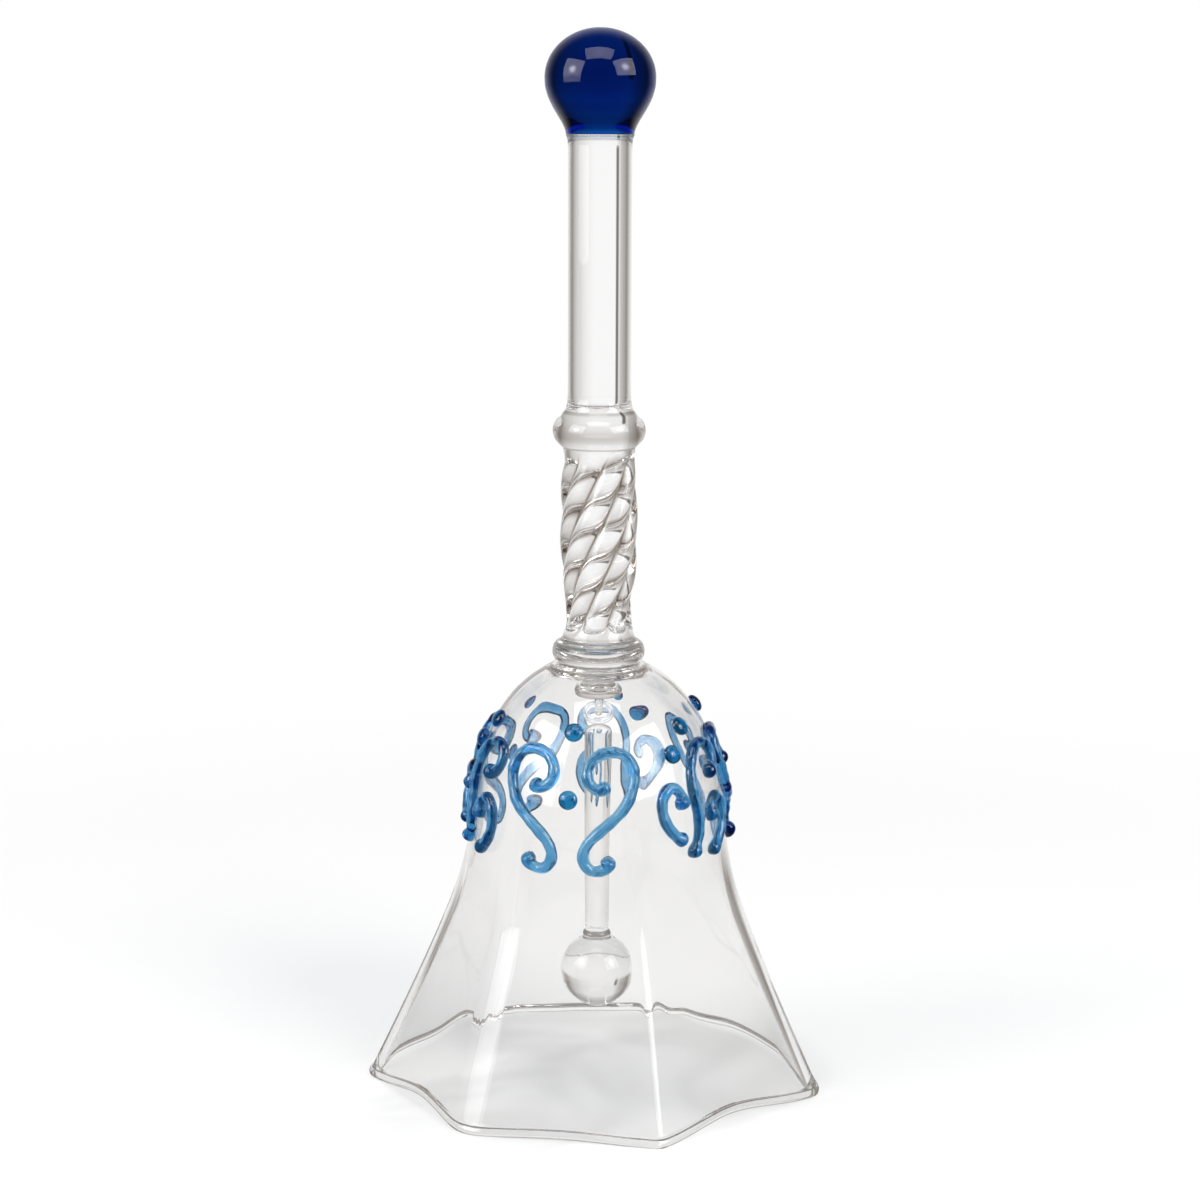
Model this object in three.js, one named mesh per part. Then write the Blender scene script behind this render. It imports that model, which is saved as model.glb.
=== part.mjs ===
// A lampworked glass hand bell, in millimetres.
//
// The axis of the bell is the Z axis and the table is the plane z = 0. A clear rod with a cobalt
// ball is the handle. Below it come a pressed knop, a rope twist, a second knop and a thin foot,
// which is welded to the crown of a blown bell. The bell is round at its shoulder and six-sided
// at its mouth. Its clapper hangs in a glass loop under the crown, and scrolls, sprigs and dots
// of blue glass lie on its shoulder.

import * as THREE from 'three';

// Fits
const clearance = 0.3;

// Bell wall, from the table up
const bellHeight = 69.2;
const shoulderHeight = 44;
const shoulderRadius = 20.75;
const crownRadius = 8.15;
const domeFullness = 2.2;
const wallThickness = 1.2;
const flareKnee = 0.24;
const flatFrom = 0.34;

// Mouth of the bell: each corner was pulled out by hand, and each side pressed flat after it.
// Bearings run anticlockwise from +X, and a corner's reach is a share of the mouth's.
// The side after a corner is straight where its press is 1, and bows outwards where it is less.
// It arches up by its lift, and has done so a share of its run away from the corners.
const mouthReach = 38.4;
const mouthCorners = [
  { bearing: -13, share: 0.977, press: 0.4, lift: 1.2, rise: 0.12 },
  { bearing: 69, share: 0.875, press: 1.0, lift: 1.1, rise: 0.12 },
  { bearing: 125, share: 0.922, press: 0.8, lift: 1.2, rise: 0.12 },
  { bearing: 179, share: 1.0, press: 1.0, lift: 1.6, rise: 0.5 },
  { bearing: 231, share: 0.875, press: 1.0, lift: 0.4, rise: 0.5 },
  { bearing: 287.5, share: 0.867, press: 1.05, lift: 1.6, rise: 0.5 },
];
const cornerSoftness = 2.4;
const beadRadius = 0.75;
const beadHeight = 0.6;

// Foot and knops of the handle
const footHeight = 0.9;
const footRadius = 7.8;
const footEdge = 0.45;
const lowerKnopHeight = 4.3;
const lowerKnopRadius = 7.36;
const lowerKnopWaist = 6.3;
const upperKnopHeight = 6.1;
const upperKnopRadius = 7.27;
const upperKnopMiddle = 2.85;
const upperKnopBulge = 2;
const upperKnopRise = 2.55;

// Rope twist between the knops
const stemLength = 30.1;
const stemFootRadius = 5.7;
const stemWaistRadius = 5.35;
const stemBellyRadius = 6.13;
const stemTopRadius = 5.75;
const lobeCount = 7;
const lobeDepth = 0.62;
const lobeFullness = 0.7;
const lobePitch = 63;
const lobeFade = 3.5;

// Handle rod and its ball
const rodRadius = 5;
const rodFlare = 5.35;
const rodFootFillet = 2.6;
const rodTopFillet = 1.9;
const handleLength = 42.6;
const ballRadius = 8.64;
const ballRise = 7.75;
const ballCentreHeight = 8.5;
const ballFilletHeight = 2.1;
const pontilRadius = 0.9;

// Post and loop under the crown
const neckRadius = 2.35;
const neckLength = 1.4;
const flangeRadius = 3.95;
const flangeThickness = 2.5;
const flangeRound = 1.35;
const wireRadius = 0.55;
const loopRadius = 1.75;
const loopDrop = 2.6;

// Clapper
const eyeRadius = 1.4;
const eyeSpread = 1.3;
const clapperRodRadius = 2;
const clapperRodLength = 33.9;
const collarHeight = 1.4;
const collarRadius = 2.35;
const clapperBallRadius = 6.05;
const ballLandRadius = 2.65;

// Blue glass laid on the shoulder
const motifBearings = [-103, -42, 19, 77, 139, 197];
const motifRise = 8;
const motifLevel = shoulderHeight + motifRise;
const trailRadius = 0.9;
const trailEndRadius = 1.15;
const trailStep = 2.1;
const dotRadius = 1.5;
const dotHeight = 1.5;

// Drawings of the trails, in millimetres right and up from the middle of each motif
const scrollRoute = [
  [6.5, -8.6],
  [5.9, -10.6],
  [3.6, -11.1],
  [2.2, -9.2],
  [2.9, -6.8],
  [5.6, -4.2],
  [8.6, -1.4],
  [9.9, 1.8],
  [9.9, 4.6],
  [8.2, 7.0],
  [5.4, 7.6],
  [2.9, 6.0],
  [2.5, 3.3],
  [4.3, 1.6],
  [6.3, 2.4],
];
const sprigRoute = [
  [-1.4, -10.4],
  [0.2, -7.4],
  [0.3, -3.8],
  [-0.3, -0.2],
  [0.2, 3.6],
  [2.2, 6.6],
  [5.2, 6.9],
  [7.0, 4.6],
  [5.9, 2.2],
  [3.6, 2.5],
];
const leafRoute = [
  [-2.6, -7.6],
  [-4.8, -6.2],
  [-6.5, -3.6],
  [-6.5, -0.6],
  [-4.6, 1.3],
  [-2.8, -0.3],
  [-3.4, -2.5],
];
const rightLeafShift = [0.8, -3.0];
const scrollDots = [
  [0, 0],
  [0, 10.4],
];
const sprigDots = [
  [-3.0, 6.2],
  [0.6, 10.2],
];

// Facets
const roundFacets = 24;
const smallFacets = 16;
const mouthFacetAngle = 9;
const domeRows = 8;
const flareRows = 10;
const beadSteps = 5;
const facetsPerLobe = 6;
const stemRows = 19;
const trailSides = 6;
const dotFacets = 10;

// Stations up the axis, each piece standing on the one below
const crownHeight = bellHeight;
const lowerKnopBase = crownHeight + footHeight;
const stemBase = lowerKnopBase + lowerKnopHeight;
const upperKnopBase = stemBase + stemLength;
const handleBase = upperKnopBase + upperKnopHeight;
const knobBase = handleBase + handleLength;
const ceilingHeight = bellHeight - wallThickness;
const flangeBase = ceilingHeight - neckLength - flangeThickness;
const pivotHeight = flangeBase - loopDrop;
const clapperRodTop = pivotHeight - eyeRadius - wireRadius - clearance;
const clapperRodBase = clapperRodTop - clapperRodLength;

const { degToRad, smoothstep, lerp, clamp, euclideanModulo } = THREE.MathUtils;

// Colours of the three glasses
const glasses = {
  clear: { color: 0xdde5e8, roughness: 0.04, opacity: 0.35 },
  sky: { color: 0x3b86b8, roughness: 0.08, opacity: 0.85 },
  cobalt: { color: 0x08208c, roughness: 0.05, opacity: 0.9 },
};

const bell = new THREE.Group();

function addPiece(name, geometry, glass, parent = bell) {
  const material = new THREE.MeshStandardMaterial({ ...glasses[glass], metalness: 0, transparent: true });
  const mesh = new THREE.Mesh(geometry, material);
  mesh.name = name;
  parent.add(mesh);
  return mesh;
}

// A solid of revolution about Z from [radius, height] pairs, listed from its bottom to its top
function turned(profile, facets = roundFacets) {
  const points = profile.map(([radius, height]) => new THREE.Vector2(radius, height));
  return new THREE.LatheGeometry(points, facets).rotateX(Math.PI / 2);
}

// Points of an arc of an ellipse in the [radius, height] plane
function ellipseArc(centre, radius, rise, fromDegrees, toDegrees, steps) {
  return Array.from({ length: steps + 1 }, (_, i) => {
    const angle = degToRad(lerp(fromDegrees, toDegrees, i / steps));
    return [centre[0] + radius * Math.cos(angle), centre[1] + rise * Math.sin(angle)];
  });
}

// Points of a curve that leaves its start towards the bend and arrives at its end from the bend
function bend(start, corner, end, steps) {
  const curve = new THREE.QuadraticBezierCurve(
    new THREE.Vector2(...start),
    new THREE.Vector2(...corner),
    new THREE.Vector2(...end),
  );
  return curve.getPoints(steps).map((point) => [point.x, point.y]);
}

// A closed skin over rings with the same number of points, its two ends closed by fans.
// The rings turn anticlockwise as seen from the side that they advance to.
function skin(rings) {
  const count = rings[0].length;
  const points = rings.flat();
  const triangles = [];
  for (let row = 0; row + 1 < rings.length; row += 1) {
    for (let column = 0; column < count; column += 1) {
      const next = (column + 1) % count;
      const a = row * count + column;
      const b = row * count + next;
      const c = a + count;
      const d = b + count;
      triangles.push(a, b, d, a, d, c);
    }
  }
  const lastRow = (rings.length - 1) * count;
  const startCentre = points.push(meanPoint(rings[0])) - 1;
  const endCentre = points.push(meanPoint(rings[rings.length - 1])) - 1;
  for (let column = 0; column < count; column += 1) {
    const next = (column + 1) % count;
    triangles.push(startCentre, next, column);
    triangles.push(endCentre, lastRow + column, lastRow + next);
  }
  const geometry = new THREE.BufferGeometry();
  geometry.setFromPoints(points);
  geometry.setIndex(triangles);
  geometry.computeVertexNormals();
  return geometry;
}

function meanPoint(ring) {
  const sum = ring.reduce((total, point) => total.add(point), new THREE.Vector3());
  return sum.divideScalar(ring.length);
}

// Rings of a round tube along a list of stations { point, radius, upright }
function tube(stations, sides) {
  const rings = stations.map(({ point, radius, upright }, i) => {
    const before = stations[Math.max(i - 1, 0)].point;
    const after = stations[Math.min(i + 1, stations.length - 1)].point;
    const along = after.clone().sub(before).normalize();
    const across = upright.clone().cross(along).normalize();
    const outward = along.clone().cross(across);
    return Array.from({ length: sides }, (_, side) => {
      const turn = (2 * Math.PI * side) / sides;
      return point
        .clone()
        .addScaledVector(across, radius * Math.cos(turn))
        .addScaledVector(outward, radius * Math.sin(turn));
    });
  });
  return skin(rings);
}

// How far a curve with a soft start has gone at a share of its run
function softStart(share, knee) {
  return ((1 + knee) * share * share) / (share + knee);
}

// The full rise that the dome would have if the crown did not cut it off flat
const domeRise =
  (bellHeight - shoulderHeight) / Math.sqrt(1 - (crownRadius / shoulderRadius) ** domeFullness);

// Reach of the mouth towards a bearing: of the uncut round, how much its side is pressed in from
// that, and how much its bead is lifted off the table
function mouthAt(bearing) {
  const first = mouthCorners[0].bearing;
  const wrapped = first + euclideanModulo(bearing - first, 360);
  const index = mouthCorners.findLastIndex((corner) => corner.bearing <= wrapped);
  const corner = mouthCorners[index];
  const nextIndex = (index + 1) % mouthCorners.length;
  const next = mouthCorners[nextIndex];
  const span = euclideanModulo(next.bearing - corner.bearing, 360);
  const share = (wrapped - corner.bearing) / span;
  const from = corner.share * mouthReach;
  const to = next.share * mouthReach;
  const round = lerp(from, to, share);
  const chord =
    (from * to * Math.sin(degToRad(span))) /
    (from * Math.sin(degToRad(span * share)) + to * Math.sin(degToRad(span * (1 - share))));
  const lift = corner.lift * smoothstep(Math.min(share, 1 - share), 0, corner.rise);
  return { round, sag: corner.press * (round - chord), lift };
}

// The same, with the corners softened over a small angle
function softMouthAt(bearing, angle) {
  const offsets = [-1, -0.5, 0, 0.5, 1];
  const samples = offsets.map((offset) => mouthAt(bearing + offset * angle));
  const mean = (key) => samples.reduce((total, sample) => total + sample[key], 0) / samples.length;
  return { round: mean('round'), sag: mean('sag') };
}

// Radius of the outside of the bell at a bearing and a height
function outerRadius(bearing, height) {
  if (height >= shoulderHeight) {
    const climbed = Math.min((height - shoulderHeight) / domeRise, 1);
    return shoulderRadius * (1 - climbed * climbed) ** (1 / domeFullness);
  }
  const dropped = (shoulderHeight - height) / shoulderHeight;
  const flared = (reach) => shoulderRadius + (reach - shoulderRadius) * softStart(dropped, flareKnee);
  const angle = THREE.MathUtils.radToDeg(cornerSoftness / flared(mouthAt(bearing).round));
  const { round, sag } = softMouthAt(bearing, angle);
  const pressed = (sag / round) * smoothstep(dropped, 0, flatFrom);
  return flared(round) * (1 - pressed);
}

function outerPoint(bearing, height) {
  const angle = degToRad(bearing);
  const radius = outerRadius(bearing, height);
  return new THREE.Vector3(radius * Math.cos(angle), radius * Math.sin(angle), height);
}

// Direction square to the outside of the bell
function outerNormal(bearing, height) {
  const step = 0.05;
  const top = Math.min(height + step, bellHeight);
  const around = outerPoint(bearing + step, height).sub(outerPoint(bearing - step, height));
  const upwards = outerPoint(bearing, top).sub(outerPoint(bearing, top - 2 * step));
  return around.cross(upwards).normalize();
}

// Bearings of the columns of facets: each corner has one, and the sides are cut evenly
function mouthBearings() {
  return mouthCorners.flatMap((corner, index) => {
    const next = mouthCorners[(index + 1) % mouthCorners.length];
    const span = euclideanModulo(next.bearing - corner.bearing, 360);
    const columns = Math.round(span / mouthFacetAngle);
    return Array.from({ length: columns }, (_, i) => corner.bearing + (span * i) / columns);
  });
}

// Blown bell: outside from the crown down, rolled bead at the mouth, inside back up to the ceiling
function makeShell() {
  const bearings = mouthBearings();
  const topAngle = Math.asin((bellHeight - shoulderHeight) / domeRise);
  const heights = [];
  for (let row = 0; row < domeRows; row += 1) {
    heights.push(shoulderHeight + domeRise * Math.sin(topAngle * (1 - row / domeRows)));
  }
  for (let row = 0; row < flareRows; row += 1) {
    heights.push(lerp(shoulderHeight, beadHeight, row / flareRows));
  }
  const outside = heights.map((height) => bearings.map((bearing) => outerPoint(bearing, height)));
  const inside = heights.map((height) =>
    bearings.map((bearing) => {
      const point = outerPoint(bearing, height);
      point.addScaledVector(outerNormal(bearing, height), -wallThickness);
      point.z = Math.min(point.z, ceilingHeight);
      return point;
    }),
  );
  const bead = [];
  for (let step = 0; step <= beadSteps; step += 1) {
    const turn = (Math.PI * step) / beadSteps;
    bead.push(bearings.map((bearing) => beadPoint(bearing, turn)));
  }
  const rings = [...outside, ...bead, ...inside.reverse()];
  return skin(rings.map((ring) => [...ring].reverse()));
}

// The bead arches up along each side and stands flat on the table at each corner
function beadPoint(bearing, turn) {
  const height = beadHeight + mouthAt(bearing).lift;
  const outward = outerNormal(bearing, height);
  const down = outerPoint(bearing, height - 0.1).sub(outerPoint(bearing, height + 0.1)).normalize();
  const point = outerPoint(bearing, height).addScaledVector(outward, -wallThickness / 2);
  point.addScaledVector(outward, beadRadius * Math.cos(turn));
  point.addScaledVector(down, beadRadius * Math.sin(turn));
  point.z = Math.max(point.z, 0);
  return point;
}

function makeFoot() {
  return turned([
    [0, crownHeight],
    ...ellipseArc([footRadius - footEdge / 2, crownHeight + footEdge / 2], footEdge / 2, footEdge / 2, -90, 90, 4),
    ...bend([footRadius - 1, crownHeight + footEdge], [lowerKnopWaist + 0.4, crownHeight + footEdge + 0.1],
      [lowerKnopWaist, lowerKnopBase], 4),
    [0, lowerKnopBase],
  ]);
}

function makeLowerKnop() {
  const middle = lowerKnopBase + 0.38 * lowerKnopHeight;
  return turned([
    [0, lowerKnopBase],
    [lowerKnopWaist, lowerKnopBase],
    ...bend([lowerKnopWaist + 0.35, lowerKnopBase + 0.1], [lowerKnopRadius, lowerKnopBase + 0.5],
      [lowerKnopRadius, middle], 4),
    ...bend([lowerKnopRadius, middle + 0.3], [lowerKnopRadius - 0.1, stemBase - 1],
      [stemFootRadius + 0.4, stemBase - 0.3], 4),
    [stemFootRadius, stemBase],
    [0, stemBase],
  ]);
}

function makeUpperKnop() {
  const middle = upperKnopBase + upperKnopMiddle;
  const top = middle + upperKnopRise;
  return turned([
    [0, upperKnopBase],
    [stemTopRadius, upperKnopBase],
    ...ellipseArc([upperKnopRadius - upperKnopBulge, middle], upperKnopBulge, upperKnopRise, -72, 66, 8),
    ...bend([rodFlare + 0.55, top], [rodFlare + 0.1, top + 0.1], [rodFlare, handleBase], 2),
    [0, handleBase],
  ]);
}

// Rope twist: cusped grooves between round lobes, which fade out at both ends
function makeStem() {
  const outline = new THREE.SplineCurve(
    [
      [0, stemFootRadius],
      [0.05, stemWaistRadius],
      [0.2, stemWaistRadius],
      [0.31, lerp(stemWaistRadius, stemBellyRadius, 0.65)],
      [0.43, stemBellyRadius],
      [0.72, stemBellyRadius],
      [0.86, lerp(stemTopRadius, stemBellyRadius, 0.4)],
      [0.93, stemTopRadius - 0.12],
      [1, stemTopRadius],
    ].map(([share, radius]) => new THREE.Vector2(share * stemLength, radius)),
  );
  const count = lobeCount * facetsPerLobe;
  const rings = [];
  for (let row = 0; row <= stemRows; row += 1) {
    const { x, y: ridge } = outline.getPoint(row / stemRows);
    const climbed = clamp(x, 0, stemLength);
    const depth = lobeDepth * smoothstep(Math.min(climbed, stemLength - climbed), 0, lobeFade);
    const twist = (2 * Math.PI * climbed) / lobePitch;
    rings.push(
      Array.from({ length: count }, (_, i) => {
        const around = (2 * Math.PI * i) / count;
        const swell = Math.abs(Math.cos((lobeCount * around) / 2)) ** lobeFullness;
        const radius = ridge - depth * (1 - swell);
        const angle = around + twist;
        return new THREE.Vector3(radius * Math.cos(angle), radius * Math.sin(angle), stemBase + climbed);
      }),
    );
  }
  return skin(rings);
}

function makeHandleRod() {
  return turned([
    [0, handleBase],
    ...bend([rodFlare, handleBase], [rodRadius, handleBase + 0.3 * rodFootFillet],
      [rodRadius, handleBase + rodFootFillet], 3),
    ...bend([rodRadius, knobBase - rodTopFillet], [rodRadius, knobBase - 0.3 * rodTopFillet],
      [rodFlare, knobBase], 3),
    [0, knobBase],
  ]);
}

// Cobalt ball: rounder below than above, drawn in by a hollow fillet to the rod
function makeKnob() {
  const centre = [0, knobBase + ballCentreHeight];
  const lowerRise = ballCentreHeight + 0.4;
  const filletTop = -Math.asin((ballCentreHeight - ballFilletHeight) / lowerRise);
  const filletRadius = ballRadius * Math.cos(filletTop);
  const topAngle = THREE.MathUtils.radToDeg(Math.acos(pontilRadius / ballRadius));
  return turned([
    [0, knobBase],
    ...bend([rodFlare, knobBase], [rodFlare + 0.1, knobBase + 0.9], [filletRadius, knobBase + ballFilletHeight], 3)
      .slice(0, -1),
    ...ellipseArc(centre, ballRadius, lowerRise, THREE.MathUtils.radToDeg(filletTop), 0, 6).slice(0, -1),
    ...ellipseArc(centre, ballRadius, ballRise, 0, topAngle, 8),
    [0, centre[1] + ballRise * Math.sin(degToRad(topAngle))],
  ]);
}

// Post under the crown: a short neck that swells into a round flange
function makePost() {
  const middle = flangeBase + flangeThickness / 2;
  return turned([
    [0, flangeBase],
    ...ellipseArc([flangeRadius - flangeRound, middle], flangeRound, flangeThickness / 2, -90, 60, 7),
    ...bend([neckRadius + 0.4, middle + flangeThickness / 2], [neckRadius, middle + flangeThickness / 2 + 0.1],
      [neckRadius, ceilingHeight], 3),
    [0, ceilingHeight],
  ], smallFacets + 4);
}

// Loop of wire that hangs from the flange, open towards the left and right
function makeHangerLoop() {
  const bottom = pivotHeight;
  const bendCentre = bottom + loopRadius;
  const route = [new THREE.Vector3(0, -loopRadius, flangeBase)];
  const steps = 10;
  for (let step = 0; step <= steps; step += 1) {
    const angle = Math.PI + (Math.PI * step) / steps;
    route.push(new THREE.Vector3(0, loopRadius * Math.cos(angle), bendCentre + loopRadius * Math.sin(angle)));
  }
  route.push(new THREE.Vector3(0, loopRadius, flangeBase));
  const upright = new THREE.Vector3(1, 0, 0);
  return tube(route.map((point) => ({ point, radius: wireRadius, upright })), 8);
}

// Eye of the clapper, a ring of wire drawn a little wider than it is high
function makeClapperEye() {
  const ring = new THREE.TorusGeometry(eyeRadius, wireRadius, 8, 20);
  return ring.rotateX(Math.PI / 2).scale(eyeSpread, 1, 1).translate(0, 0, pivotHeight);
}

function makeClapperRod() {
  const shoulder = 0.5;
  return turned([
    [0, clapperRodBase],
    [clapperRodRadius, clapperRodBase],
    ...ellipseArc([clapperRodRadius - shoulder, clapperRodTop - shoulder], shoulder, shoulder, 0, 90, 3),
    [0, clapperRodTop],
  ], smallFacets);
}

function makeClapperCollar() {
  const base = clapperRodBase - collarHeight;
  return turned([
    [0, base],
    [ballLandRadius - 0.1, base],
    ...bend([ballLandRadius - 0.2, base + 0.2], [collarRadius - 0.1, base + 0.3], [collarRadius, base + 0.8], 2),
    [clapperRodRadius, clapperRodBase],
    [0, clapperRodBase],
  ], smallFacets);
}

// Ball of the clapper, with a flat land on top where the collar is welded on
function makeClapperBall() {
  const landAngle = Math.acos(ballLandRadius / clapperBallRadius);
  const landHeight = clapperRodBase - collarHeight;
  const centre = [0, landHeight - clapperBallRadius * Math.sin(landAngle)];
  const arc = ellipseArc(centre, clapperBallRadius, clapperBallRadius, -90, THREE.MathUtils.radToDeg(landAngle), 12);
  return turned([[0, centre[1] - clapperBallRadius], ...arc.slice(1, -1), [ballLandRadius, landHeight], [0, landHeight]]);
}

// Height reached after going some way up or down the outside of the bell from the motifs' level
function heightAlongWall(bearing, distance) {
  const steps = 10;
  let height = motifLevel;
  for (let step = 0; step < steps; step += 1) {
    const lean = (outerRadius(bearing, height + 0.1) - outerRadius(bearing, height - 0.1)) / 0.2;
    height += distance / steps / Math.hypot(1, lean);
  }
  return height;
}

// Where a point of a drawing lies on the bell, and the direction square to the wall there
function layOnWall(bearing, [right, up]) {
  const height = heightAlongWall(bearing, up);
  const radius = outerRadius(bearing, height);
  const turnedBearing = bearing + THREE.MathUtils.radToDeg(right / radius);
  return { point: outerPoint(turnedBearing, height), upright: outerNormal(turnedBearing, height) };
}

// Trail of glass laid along a drawn route, with a round bead at each end
function makeTrail(bearing, route) {
  const curve = new THREE.CatmullRomCurve3(route.map(([right, up]) => new THREE.Vector3(right, up, 0)));
  const length = curve.getLength();
  const middleSteps = Math.ceil((length - 3 * trailEndRadius) / trailStep);
  const endDistances = [22, 50, 90].map((angle) => trailEndRadius * (1 - Math.cos(degToRad(angle))));
  const start = 1.7 * trailEndRadius;
  const distances = [...endDistances];
  for (let step = 0; step <= middleSteps; step += 1) {
    distances.push(lerp(start, length - start, step / middleSteps));
  }
  distances.push(...endDistances.map((distance) => length - distance).reverse());
  const stations = distances.map((distance) => {
    const fromEnd = Math.min(distance, length - distance);
    const radius = trailRadiusAt(fromEnd);
    const drawn = curve.getPointAt(distance / length);
    const { point, upright } = layOnWall(bearing, [drawn.x, drawn.y]);
    const swell = Math.max(radius, trailRadius);
    point.addScaledVector(upright, clearance + swell);
    return { point, radius, upright };
  });
  return tube(stations, trailSides);
}

function trailRadiusAt(fromEnd) {
  if (fromEnd < trailEndRadius) {
    return Math.sqrt(trailEndRadius ** 2 - (trailEndRadius - fromEnd) ** 2);
  }
  return lerp(trailEndRadius, trailRadius, smoothstep(fromEnd, trailEndRadius, 2 * trailEndRadius));
}

// Dot of cobalt glass: a low round button, standing square to the wall
function addDot(name, bearing, place) {
  const arc = ellipseArc([0, 0.3 * dotHeight], dotRadius, 0.7 * dotHeight, 0, 90, 3);
  const button = turned([[0, 0], [0.8 * dotRadius, 0], ...arc.slice(0, -1), [0, dotHeight]], dotFacets);
  const dot = addPiece(name, button, 'cobalt');
  const { point, upright } = layOnWall(bearing, place);
  dot.position.copy(point).addScaledVector(upright, clearance);
  dot.quaternion.setFromUnitVectors(new THREE.Vector3(0, 0, 1), upright);
}

function mirrored(route, [shiftRight, shiftUp] = [0, 0]) {
  return route.map(([right, up]) => [shiftRight - right, shiftUp + up]);
}

// The first motif, and every other one after it, is a pair of facing scrolls.
// Those between them are a curled sprig with two leaves.
function addMotif(index, bearing) {
  const number = index + 1;
  if (index % 2 === 0) {
    addPiece(`motif_${number}_scroll_right`, makeTrail(bearing, scrollRoute), 'sky');
    addPiece(`motif_${number}_scroll_left`, makeTrail(bearing, mirrored(scrollRoute)), 'sky');
  } else {
    addPiece(`motif_${number}_sprig`, makeTrail(bearing, sprigRoute), 'sky');
    addPiece(`motif_${number}_leaf_left`, makeTrail(bearing, leafRoute), 'sky');
    addPiece(`motif_${number}_leaf_right`, makeTrail(bearing, mirrored(leafRoute, rightLeafShift)), 'sky');
  }
  const dots = index % 2 === 0 ? scrollDots : sprigDots;
  addDot(`motif_${number}_dot_low`, bearing, dots[0]);
  addDot(`motif_${number}_dot_high`, bearing, dots[1]);
}

addPiece('knob', makeKnob(), 'cobalt');
addPiece('handle_rod', makeHandleRod(), 'clear');
addPiece('upper_knop', makeUpperKnop(), 'clear');
addPiece('twisted_stem', makeStem(), 'clear');
addPiece('lower_knop', makeLowerKnop(), 'clear');
addPiece('foot', makeFoot(), 'clear');
addPiece('bell_shell', makeShell(), 'clear');
addPiece('hanger_post', makePost(), 'clear');
addPiece('hanger_loop', makeHangerLoop(), 'clear');

const clapper = new THREE.Group();
bell.add(clapper);
addPiece('clapper_eye', makeClapperEye(), 'clear', clapper);
addPiece('clapper_rod', makeClapperRod(), 'clear', clapper);
addPiece('clapper_collar', makeClapperCollar(), 'clear', clapper);
addPiece('clapper_ball', makeClapperBall(), 'clear', clapper);

motifBearings.forEach((bearing, index) => addMotif(index, bearing));

export default bell;
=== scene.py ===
import math

import bpy
import numpy as np
from mathutils import Euler, Matrix, Vector


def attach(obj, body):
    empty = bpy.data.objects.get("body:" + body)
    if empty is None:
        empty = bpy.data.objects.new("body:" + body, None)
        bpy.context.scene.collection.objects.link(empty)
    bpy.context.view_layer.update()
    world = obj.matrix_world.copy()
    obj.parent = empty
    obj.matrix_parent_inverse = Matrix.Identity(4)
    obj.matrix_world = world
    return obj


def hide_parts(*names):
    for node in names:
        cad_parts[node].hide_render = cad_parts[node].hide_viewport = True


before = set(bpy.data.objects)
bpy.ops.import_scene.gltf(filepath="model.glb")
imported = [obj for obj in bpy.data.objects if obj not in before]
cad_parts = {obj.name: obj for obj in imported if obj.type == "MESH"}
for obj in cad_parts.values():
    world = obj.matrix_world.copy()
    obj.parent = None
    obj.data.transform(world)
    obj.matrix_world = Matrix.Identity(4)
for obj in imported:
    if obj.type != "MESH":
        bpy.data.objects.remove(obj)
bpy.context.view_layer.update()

scene = bpy.context.scene

# Sizes of the bell are in millimetres, its bearings and angles in degrees
MM = 0.001

# Stations up the axis
LAND_HEIGHT = 23.95
ROD_BASE = 25.35
SHOULDER_HEIGHT = 44.0
ROD_TOP = 59.25
PIVOT_HEIGHT = 61.5
CEILING_HEIGHT = 68.0
BELL_HEIGHT = 69.2
LOWER_KNOP_BASE = 70.1
STEM_BASE = 74.4
STEM_TOP = 104.5
HANDLE_BASE = 110.6
KNOB_BASE = 153.2

# Rods, balls and wire
ROD_RADIUS = 5.0
KNOB_RADIUS = 8.63
KNOB_WAIST = 8.6
KNOB_CAP = 7.6
CLAPPER_ROD_RADIUS = 2.0
BALL_RADIUS = 6.05
BALL_CENTRE = LAND_HEIGHT - 5.44
FLANGE_BASE = CEILING_HEIGHT - 3.9
WIRE_RADIUS = 0.55
WIRE_SUNK = 0.3
LOOP_RADIUS = 1.75
EYE_REACH = 1.82
EYE_RISE = 1.4

# Bell. The shares are of the way from the shoulder down to the mouth: how late the flare sets in, where
# the sides are pressed flat in full, and where the wall starts to follow the arches of the mouth
SHOULDER_RADIUS = 20.75
CROWN_RADIUS = 8.15
DOME_FULLNESS = 2.2
WALL = 1.2
SLOW_WAVE = 0.06
QUICK_WAVE = 0.035
FLARE_SHARE = 0.24
FLAT_SHARE = 0.34
ARCH_SHARE = 0.75
MOUTH_REACH = 38.4
BEAD_RADIUS = 0.85
BEAD_HEIGHT = 0.6
BEAD_START, BEAD_END = -50, 230
NORMAL_STEP = 0.05
DOME_RISE = (BELL_HEIGHT - SHOULDER_HEIGHT) / math.sqrt(
    1 - (CROWN_RADIUS / SHOULDER_RADIUS) ** DOME_FULLNESS
)
# Corners: bearing and share of the reach, then for the side after it how far it is pressed flat, how
# high it arches off the table and the share of its run that it takes to rise, and last how softly the
# corner is rounded outside and inside
CORNERS = [
    (-13, 0.977, 0.4, 1.2, 0.12, 2.2, 3.5),
    (69, 0.875, 1.0, 1.1, 0.08, 1.6, 2.2),
    (125, 0.922, 0.8, 1.2, 0.12, 2.2, 3.0),
    (179, 1.0, 1.0, 1.6, 0.5, 2.2, 3.7),
    (231, 0.875, 1.0, 0.4, 0.5, 3.8, 4.0),
    (287.5, 0.867, 1.05, 1.6, 0.5, 1.3, 1.8),
]
OUTSIDE, INSIDE = 5, 6

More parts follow.
